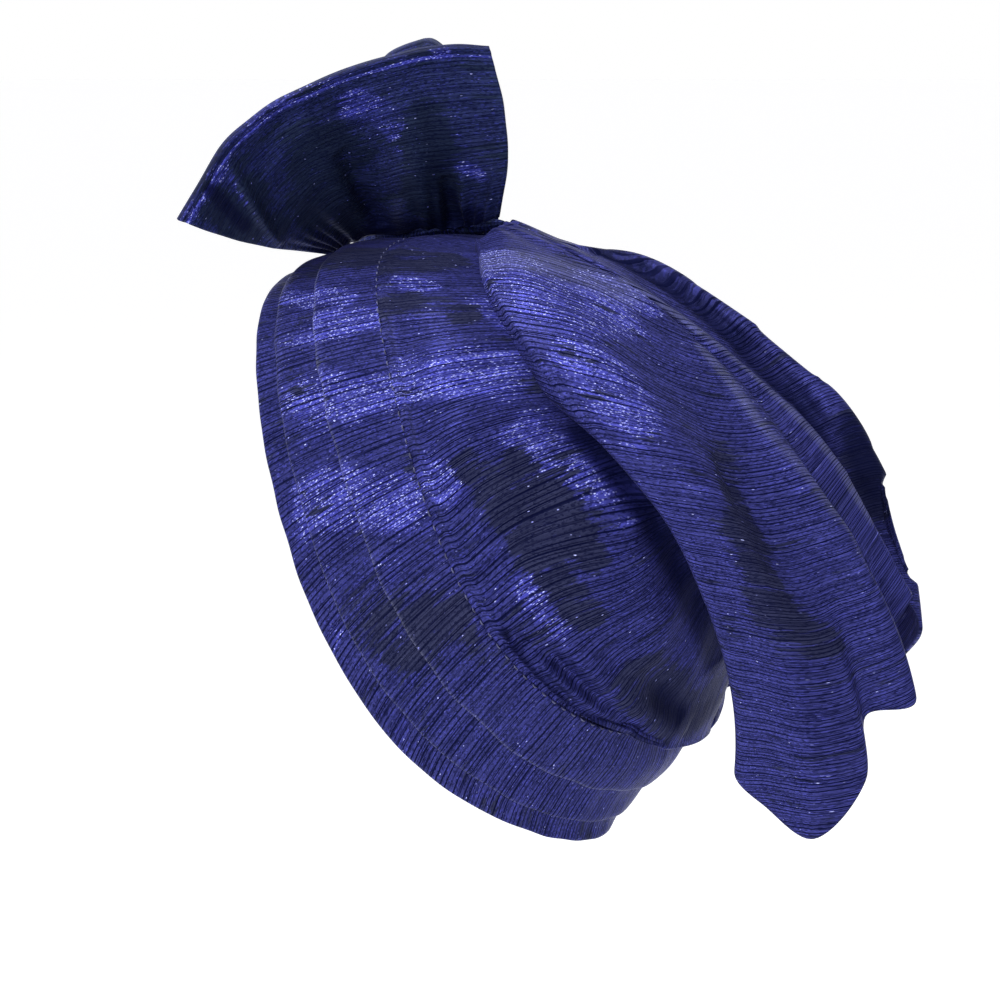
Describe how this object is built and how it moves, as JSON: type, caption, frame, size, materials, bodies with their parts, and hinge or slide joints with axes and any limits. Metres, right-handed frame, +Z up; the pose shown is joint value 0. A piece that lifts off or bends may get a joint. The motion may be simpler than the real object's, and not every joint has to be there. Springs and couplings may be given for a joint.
{
  "type": "turban cap with bow and draped tail",
  "caption": "Pre-tied cloth turban cap: overlapping pleated headband, soft crown, gathered bow on top and a folded drape that hangs behind the nape.",
  "frame": {"origin": "inner top of the crown, where the top of a head touches it", "axes": "+Z up, the wearer faces -Y, the wearer's left is +X; the head enters from below and in front, along +Z"},
  "size_m": [0.1668, 0.2588, 0.2677],
  "materials": {
    "headband": "royal blue woven cloth with fine dark stripes and metallic thread",
    "crown": "royal blue woven cloth with fine dark stripes and metallic thread",
    "drape": "royal blue woven cloth with fine dark stripes and metallic thread",
    "bow": "royal blue woven cloth with fine dark stripes and metallic thread"
  },
  "bodies": {
    "root": {"tier_front": "headband", "tier_middle": "headband", "tier_rear": "headband", "crown": "crown", "drape": "drape", "bow_left": "bow", "bow_right": "bow", "knot": "bow"}
  },
  "joints": []
}
